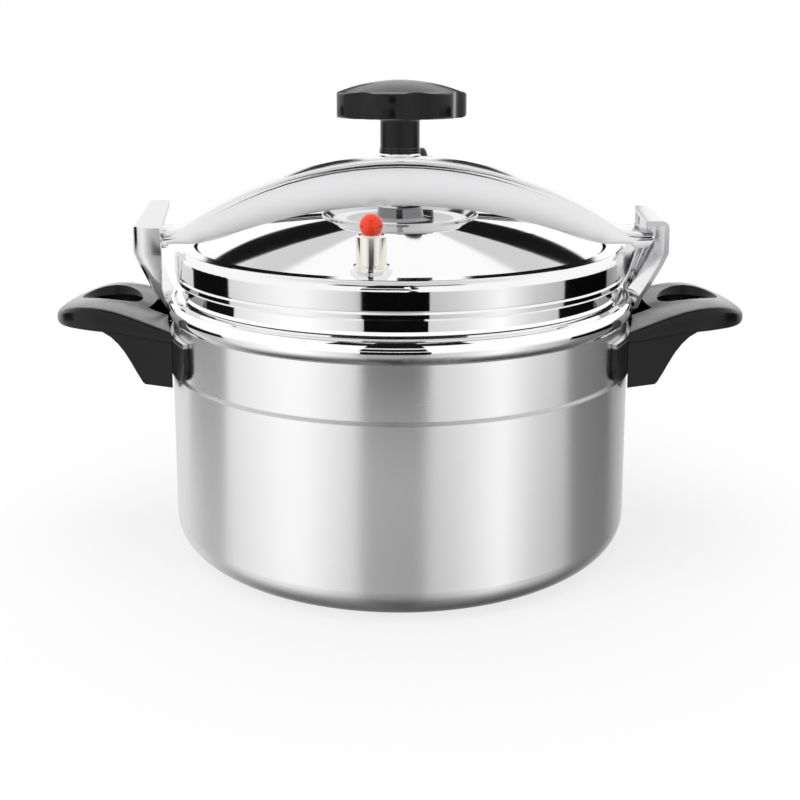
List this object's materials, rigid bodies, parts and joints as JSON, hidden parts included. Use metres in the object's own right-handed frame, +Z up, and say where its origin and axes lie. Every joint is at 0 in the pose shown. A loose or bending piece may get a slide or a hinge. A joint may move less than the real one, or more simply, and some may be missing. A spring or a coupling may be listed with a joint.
{
  "type": "pressure canner",
  "caption": "Aluminium pressure canner whose lid is held by an arched steel bow, hooked under side brackets and screwed down by a lobed black knob.",
  "frame": {"origin": "centre of the pot's flat base, on the surface it stands on", "axes": "+Z up along the spindle, X along the bow and through both handles, -Y towards the indicator valve at the front"},
  "size_m": [0.3808, 0.2536, 0.2494],
  "materials": {
    "brushed_aluminium": "satin spun, fine turning lines",
    "polished_aluminium": "mirror polished",
    "polished_steel": "mirror polished",
    "nickel_plate": "bright plated",
    "dark_steel": "blackened, satin",
    "black_bakelite": "moulded, glossy",
    "black_weight": "black enamel",
    "red_silicone": "smooth",
    "grey_rubber": "matt moulded"
  },
  "bodies": {
    "pot": {"pot_body": "brushed_aluminium", "lid": "polished_aluminium", "lid_gasket": "grey_rubber", "left_bracket": "polished_steel", "right_bracket": "polished_steel", "left_rivets": "polished_aluminium", "right_rivets": "polished_aluminium", "left_handle": "black_bakelite", "right_handle": "black_bakelite", "left_handle_screw": "dark_steel", "right_handle_screw": "dark_steel", "indicator_housing": "nickel_plate", "indicator_washer": "red_silicone", "indicator_nut": "nickel_plate", "vent_pipe": "nickel_plate", "vent_washer": "red_silicone", "vent_nut": "nickel_plate", "vent_filter": "nickel_plate"},
    "bow_frame": {"bow": "polished_steel", "bow_bush": "nickel_plate"},
    "presser": {"pressure_plate": "polished_aluminium"},
    "clamp_screw": {"spindle": "nickel_plate", "plate_clip": "dark_steel", "stem_washer": "black_bakelite", "knob": "black_bakelite", "knob_screw": "dark_steel"},
    "indicator": {"indicator_pin": "nickel_plate", "indicator_ball": "red_silicone"},
    "weight": {"regulator_weight": "black_weight", "weight_cap": "black_bakelite"}
  },
  "joints": [
    {"name": "bow_swing", "type": "hinge", "parent": "pot", "child": "bow_frame", "pos_m": [0, 0, 0.19], "axis": [0, 0, -1], "range_deg": [0, 50]},
    {"name": "presser_lift", "type": "slide", "parent": "bow_frame", "child": "presser", "axis": [0, 0, 1], "range_m": [0, 0.0025]},
    {"name": "knob_turn", "type": "hinge", "parent": "presser", "child": "clamp_screw", "pos_m": [0, 0, 0.2], "axis": [0, 0, 1], "range_deg": [0, 450]},
    {"name": "indicator_lift", "type": "slide", "parent": "pot", "child": "indicator", "axis": [0, 0, 1], "range_m": [0, 0.003]},
    {"name": "weight_lift", "type": "slide", "parent": "pot", "child": "weight", "axis": [0, 0, 1], "range_m": [0, 0.004]}
  ],
  "couplings": [
    {"joint": "knob_turn", "follows": "presser_lift", "rad_per_m": 3141.6}
  ]
}
